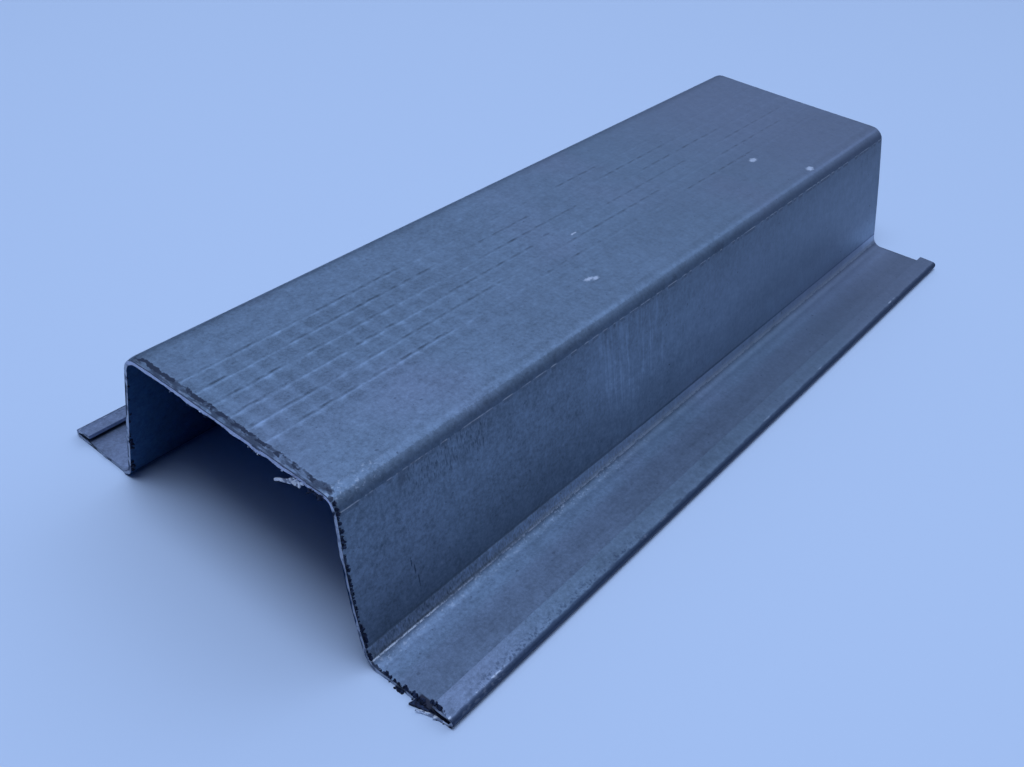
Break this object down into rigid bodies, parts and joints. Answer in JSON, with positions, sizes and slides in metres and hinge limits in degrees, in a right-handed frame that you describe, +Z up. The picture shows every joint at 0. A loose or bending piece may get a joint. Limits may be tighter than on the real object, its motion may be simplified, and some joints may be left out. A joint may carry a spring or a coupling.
{
  "type": "hat channel",
  "caption": "Short sawn length of roll-formed sheet steel hat channel with a flat pressed crown, leaning walls and open-hemmed flanges.",
  "frame": {"origin": "middle of the length and of the width, on the level that the flanges stand on", "axes": "+X along the channel, +Y across it towards the side that the pressed band is nearer to, +Z up from the flanges to the crown"},
  "size_m": [0.1324, 0.068, 0.022],
  "materials": {
    "galvanised_steel": "dull galvanised sheet, mottled, with soft streaks along the roll-forming direction"
  },
  "bodies": {
    "root": {"hat_channel": "galvanised_steel"}
  },
  "joints": []
}
